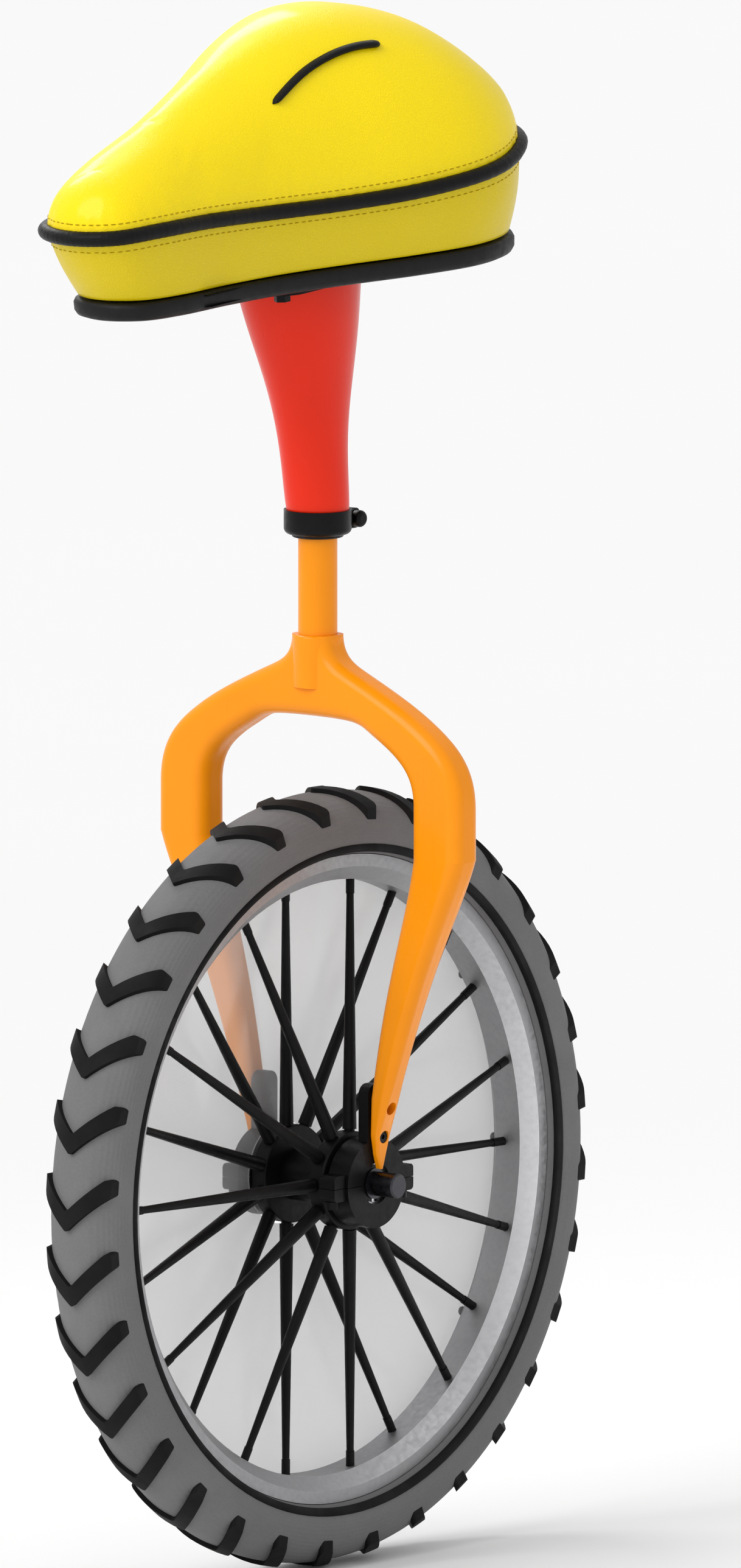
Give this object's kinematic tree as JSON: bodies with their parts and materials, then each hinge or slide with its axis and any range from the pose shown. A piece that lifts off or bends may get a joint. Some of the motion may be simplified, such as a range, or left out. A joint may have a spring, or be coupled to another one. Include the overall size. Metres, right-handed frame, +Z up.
{
  "type": "unicycle",
  "caption": "Unicycle with a chevron-treaded wheel, smoked disc cover, two-legged fork, height-adjustable tapered seat post and padded pear-shaped saddle.",
  "frame": {"origin": "on the ground straight under the wheel's axle", "axes": "+X forward to the saddle's nose, +Y to the unicycle's left, +Z up"},
  "size_m": [0.508, 0.252, 1.0187],
  "materials": {
    "tread_rubber": "matt moulded rubber",
    "butyl": "matt",
    "valve_metal": "plain turned",
    "valve_plastic": "moulded",
    "rim_alloy": "satin anodised",
    "black_spokes": "black powder coat",
    "smoked_disc": "smoked clear sheet",
    "black_steel": "blackened steel",
    "hub_black": "black powder coat",
    "axle_steel": "dark ground steel",
    "bearing_steel": "ground and polished",
    "bearing_brass": "stamped",
    "seal_rubber": "moulded",
    "orange_paint": "smooth orange enamel",
    "stem_plastic": "moulded",
    "red_paint": "smooth red enamel",
    "clamp_black": "black anodised",
    "plate_steel": "black powder coat",
    "pan_plastic": "black moulded",
    "foam": "cut foam",
    "yellow_vinyl": "grained vinyl",
    "mustard_vinyl": "grained vinyl",
    "black_vinyl": "welted vinyl"
  },
  "bodies": {
    "frame": {"bearing_outer_races": "bearing_steel", "bearing_seals": "seal_rubber", "bearing_housing_left": "hub_black", "bearing_housing_right": "hub_black", "bearing_cap_left": "hub_black", "bearing_cap_right": "hub_black", "cap_bolts": "black_steel", "fork_leg_left": "orange_paint", "fork_leg_right": "orange_paint", "leg_screws": "black_steel", "fork_crown": "orange_paint", "fork_stem": "orange_paint", "stem_plug": "stem_plastic"},
    "wheel": {"tyre": "tread_rubber", "inner_tube": "butyl", "valve_stem": "valve_metal", "valve_nut": "valve_metal", "valve_cap": "valve_plastic", "rim_tape": "butyl", "rim": "rim_alloy", "spokes_left": "black_spokes", "spokes_right": "black_spokes", "spoke_nipples": "black_spokes", "disc_cover": "smoked_disc", "disc_screws": "black_steel", "hub_shell": "hub_black", "axle": "axle_steel", "axle_key": "black_steel", "axle_circlips": "black_steel", "bearing_inner_races": "bearing_steel"},
    "cage_left": {"bearing_balls_left": "bearing_steel", "bearing_cage_left": "bearing_brass"},
    "cage_right": {"bearing_balls_right": "bearing_steel", "bearing_cage_right": "bearing_brass"},
    "seat": {"seat_post": "red_paint", "post_bush_lower": "stem_plastic", "post_bush_upper": "stem_plastic", "clamp_collar": "clamp_black", "clamp_skewer": "black_steel", "clamp_nut": "black_steel", "clamp_washers": "black_steel", "lever_pin": "black_steel", "saddle_plate": "plate_steel", "saddle_bolts": "black_steel", "saddle_washers": "black_steel", "saddle_nuts": "black_steel", "saddle_pan": "pan_plastic", "saddle_foam": "foam", "saddle_band": "mustard_vinyl", "saddle_cover": "yellow_vinyl", "saddle_piping": "black_vinyl", "saddle_welt": "black_vinyl"},
    "lever": {"clamp_lever": "clamp_black"}
  },
  "joints": [
    {"name": "wheel_spin", "type": "hinge", "parent": "frame", "child": "wheel", "pos_m": [0, 0, 0.254], "axis": [0, 1, 0], "continuous": true},
    {"name": "cage_left_spin", "type": "hinge", "parent": "frame", "child": "cage_left", "pos_m": [0, 0.04, 0.254], "axis": [0, 1, 0], "continuous": true},
    {"name": "cage_right_spin", "type": "hinge", "parent": "frame", "child": "cage_right", "pos_m": [0, -0.04, 0.254], "axis": [0, 1, 0], "continuous": true},
    {"name": "seat_height", "type": "slide", "parent": "frame", "child": "seat", "axis": [0, 0, 1], "range_m": [-0.055, 0.05]},
    {"name": "clamp_lever_swing", "type": "hinge", "parent": "seat", "child": "lever", "pos_m": [-0.027, -0.0155, 0.681], "axis": [-1, 0, 0], "range_deg": [0, 150]}
  ],
  "couplings": [
    {"joint": "cage_left_spin", "follows": "wheel_spin", "ratio": 0.4},
    {"joint": "cage_right_spin", "follows": "wheel_spin", "ratio": 0.4}
  ]
}
